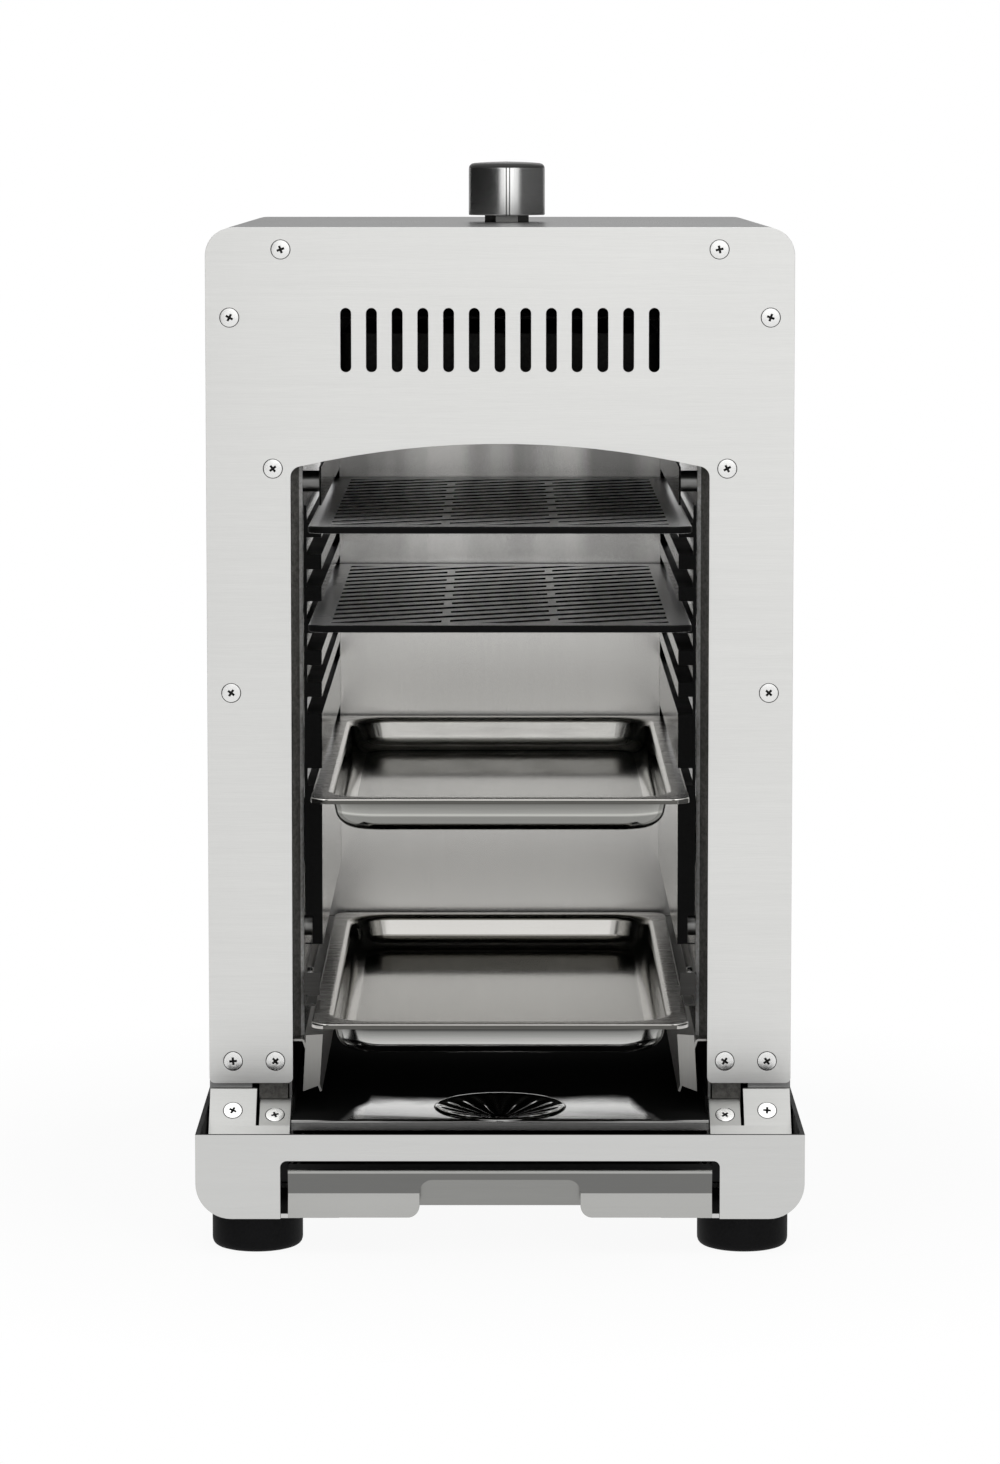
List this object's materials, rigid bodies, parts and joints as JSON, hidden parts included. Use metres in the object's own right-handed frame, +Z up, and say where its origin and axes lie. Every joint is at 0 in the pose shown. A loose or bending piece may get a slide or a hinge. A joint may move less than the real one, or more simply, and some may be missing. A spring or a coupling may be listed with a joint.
{
  "type": "infrared gas grill",
  "caption": "Top-heat infrared gas grill: brushed steel front with an arched opening, grates and pans on slotted racks, drip drawer, rubber feet and a gas knob on the roof.",
  "frame": {"origin": "middle of the footprint on the ground, with the gas inlet counted in the depth", "axes": "+Z up, -Y the open front, +X to the right as seen from the front"},
  "size_m": [0.28, 0.419, 0.5],
  "materials": {
    "brushed_plate": "fine horizontal brushing",
    "housing_steel": "satin",
    "liner_steel": "satin, slightly warm",
    "screw_steel": "bright zinc plating",
    "grate_steel": "dark satin",
    "pan_steel": "polished, slightly warm",
    "base_steel": "polished",
    "inner_steel": "mill finish",
    "spring_steel": "drawn wire",
    "foot_rubber": "matt black",
    "tile_ceramic": "matt ceramic",
    "fibre_felt": "matt fibre",
    "valve_brass": "machined",
    "lead_sheath": "matt sheath",
    "spark_case": "matt black",
    "knob_metal": "satin"
  },
  "bodies": {
    "grill": {"back_liner": "liner_steel", "base_frame": "base_steel", "burner_deck": "inner_steel", "burner_gasket": "fibre_felt", "burner_housing": "inner_steel", "ceramic_tiles": "tile_ceramic", "corner_posts": "inner_steel", "corner_screws": "screw_steel", "flame_sensor": "inner_steel", "foot_nuts": "screw_steel", "foot_screws": "screw_steel", "front_plate": "brushed_plate", "front_plate_screws": "screw_steel", "gas_inlet": "valve_brass", "gas_jet": "valve_brass", "gas_pipe": "inner_steel", "heat_shield": "inner_steel", "ignition_electrode": "tile_ceramic", "ignition_lead": "lead_sheath", "inlet_nut": "screw_steel", "inlet_pipe": "inner_steel", "jet_holder": "valve_brass", "knob_spring": "spring_steel", "left_chassis_side": "inner_steel", "left_corner_plate": "base_steel", "left_drawer_runner": "inner_steel", "left_drip_deflector": "liner_steel", "left_lower_pan_rail": "liner_steel", "left_side_liner": "liner_steel", "left_side_rack": "liner_steel", "mixing_tube": "inner_steel", "outer_housing": "housing_steel", "rack_spacers": "liner_steel", "rear_cover": "housing_steel", "rear_screws": "screw_steel", "right_chassis_side": "inner_steel", "right_corner_plate": "base_steel", "right_drawer_runner": "inner_steel", "right_drip_deflector": "liner_steel", "right_lower_pan_rail": "liner_steel", "right_side_liner": "liner_steel", "right_side_rack": "liner_steel", "rubber_feet": "foot_rubber", "sensor_lead": "lead_sheath", "spark_unit": "spark_case", "sump_pan": "base_steel", "tile_frame": "inner_steel", "valve_body": "valve_brass", "valve_cap": "valve_brass", "valve_nut": "screw_steel", "wall_screws": "screw_steel"},
    "upper_grate": {"upper_grate": "grate_steel"},
    "lower_grate": {"lower_grate": "grate_steel"},
    "upper_pan": {"upper_pan": "pan_steel"},
    "lower_pan": {"lower_pan": "pan_steel"},
    "drip_drawer": {"drip_drawer": "base_steel"},
    "valve_plug": {"valve_plug": "valve_brass"},
    "knob": {"control_knob": "knob_metal", "valve_stem": "inner_steel", "knob_grub_screw": "screw_steel"}
  },
  "joints": [
    {"name": "upper_grate_slide", "type": "slide", "parent": "grill", "child": "upper_grate", "axis": [0, -1, 0], "range_m": [0, 0.25]},
    {"name": "lower_grate_slide", "type": "slide", "parent": "grill", "child": "lower_grate", "axis": [0, -1, 0], "range_m": [0, 0.25]},
    {"name": "upper_pan_slide", "type": "slide", "parent": "grill", "child": "upper_pan", "axis": [0, -1, 0], "range_m": [0, 0.25]},
    {"name": "lower_pan_slide", "type": "slide", "parent": "grill", "child": "lower_pan", "axis": [0, -1, 0], "range_m": [0, 0.25]},
    {"name": "drip_drawer_slide", "type": "slide", "parent": "grill", "child": "drip_drawer", "axis": [0, -1, 0], "range_m": [0, 0.225]},
    {"name": "valve_turn", "type": "hinge", "parent": "grill", "child": "valve_plug", "pos_m": [0.0034, 0.0255, 0.45], "axis": [0, 0, 1], "range_deg": [0, 210]},
    {"name": "knob_push", "type": "slide", "parent": "valve_plug", "child": "knob", "axis": [0, 0, -1], "range_m": [0, 0.003], "stiffness_N_per_m": 3000, "springref_m": -0.002, "deforming": ["knob_spring"]}
  ]
}
